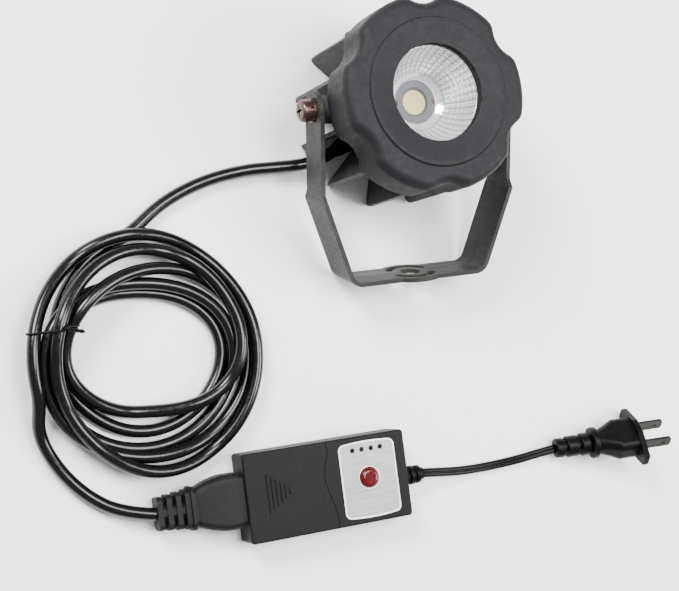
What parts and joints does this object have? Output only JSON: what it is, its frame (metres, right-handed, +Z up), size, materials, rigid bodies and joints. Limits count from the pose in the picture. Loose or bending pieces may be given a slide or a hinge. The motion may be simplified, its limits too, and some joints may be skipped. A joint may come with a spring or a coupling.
{
  "type": "garden light projector",
  "caption": "Finned LED spot lamp in a tilting U bracket, with a coiled lead, a plug-in flash controller with one button, and a two-blade mains plug.",
  "frame": {"origin": "centre of the underside of the lamp head and bracket, on the table they lie on", "axes": "+Z up along the lamp beam, X along the tilt bolts, +Y away from the bracket base"},
  "size_m": [0.3515, 0.2551, 0.074],
  "materials": {
    "cast_aluminium": "satin powder coat",
    "bezel_paint": "satin powder coat",
    "bracket_steel": "brushed, thinly coated",
    "zinc_steel": "zinc plated",
    "dark_gasket": "soft",
    "clear_glass": "polished",
    "mirror_aluminium": "hammered facets",
    "board_white": "solder mask",
    "phosphor_yellow": "silicone",
    "holder_white": "moulded",
    "board_green": "solder mask",
    "component_black": "moulded",
    "cord_black": "glossy PVC",
    "moulded_black": "moulded PVC",
    "case_black": "fine spark texture",
    "label_silver": "satin",
    "button_red": "polished",
    "ring_pale": "moulded",
    "light_dark": "dark lens",
    "copper_alloy": "plated",
    "blade_steel": "nickel plated"
  },
  "bodies": {
    "lamp": {"heat_sink": "cast_aluminium", "rear_cover": "cast_aluminium", "rear_gasket": "dark_gasket", "rear_cover_screws": "zinc_steel", "bezel": "bezel_paint", "bezel_gasket": "dark_gasket", "bezel_screws": "zinc_steel", "lens_glass": "clear_glass", "lens_gasket": "dark_gasket", "reflector": "mirror_aluminium", "cob_board": "board_white", "cob_phosphor": "phosphor_yellow", "thermal_pad": "dark_gasket", "cob_holder": "holder_white", "holder_screws": "zinc_steel", "driver_board": "board_green", "driver_parts": "component_black", "cable_gland": "moulded_black", "gland_seal": "dark_gasket", "gland_nut": "moulded_black", "pivot_bolts": "zinc_steel", "flat_washers": "zinc_steel", "spring_washers": "zinc_steel", "friction_washers": "dark_gasket", "lamp_lead": "cord_black", "cord_coil": "cord_black", "return_lead": "cord_black", "twist_tie": "moulded_black", "connector_boot": "moulded_black", "connector_body": "moulded_black", "connector_sockets": "copper_alloy"},
    "bracket": {"bracket": "bracket_steel"},
    "controller": {"controller_base": "case_black", "controller_cover": "case_black", "controller_lid": "case_black", "label_plate": "label_silver", "indicator_lights": "light_dark", "button_ring": "ring_pale", "button_switch": "component_black", "controller_board": "board_green", "board_parts": "component_black", "controller_pins": "copper_alloy", "pin_carrier": "moulded_black", "controller_screws": "zinc_steel", "strain_relief": "moulded_black", "tail_cord": "cord_black", "plug_boot": "moulded_black", "plug_body": "moulded_black", "plug_blades": "blade_steel"},
    "button": {"set_button": "button_red", "switch_plunger": "component_black"}
  },
  "joints": [
    {"name": "bracket_tilt", "type": "hinge", "parent": "lamp", "child": "bracket", "pos_m": [0, 0.02126, 0.041], "axis": [-1, 0, 0], "range_deg": [0, 180]},
    {"name": "controller_unplug", "type": "slide", "parent": "lamp", "child": "controller", "axis": [1, 0, 0], "range_m": [0, 0.022]},
    {"name": "set_button", "type": "slide", "parent": "controller", "child": "button", "axis": [0, 0, -1], "range_m": [0, 0.001], "stiffness_N_per_m": 1500, "springref_m": -0.0003}
  ]
}
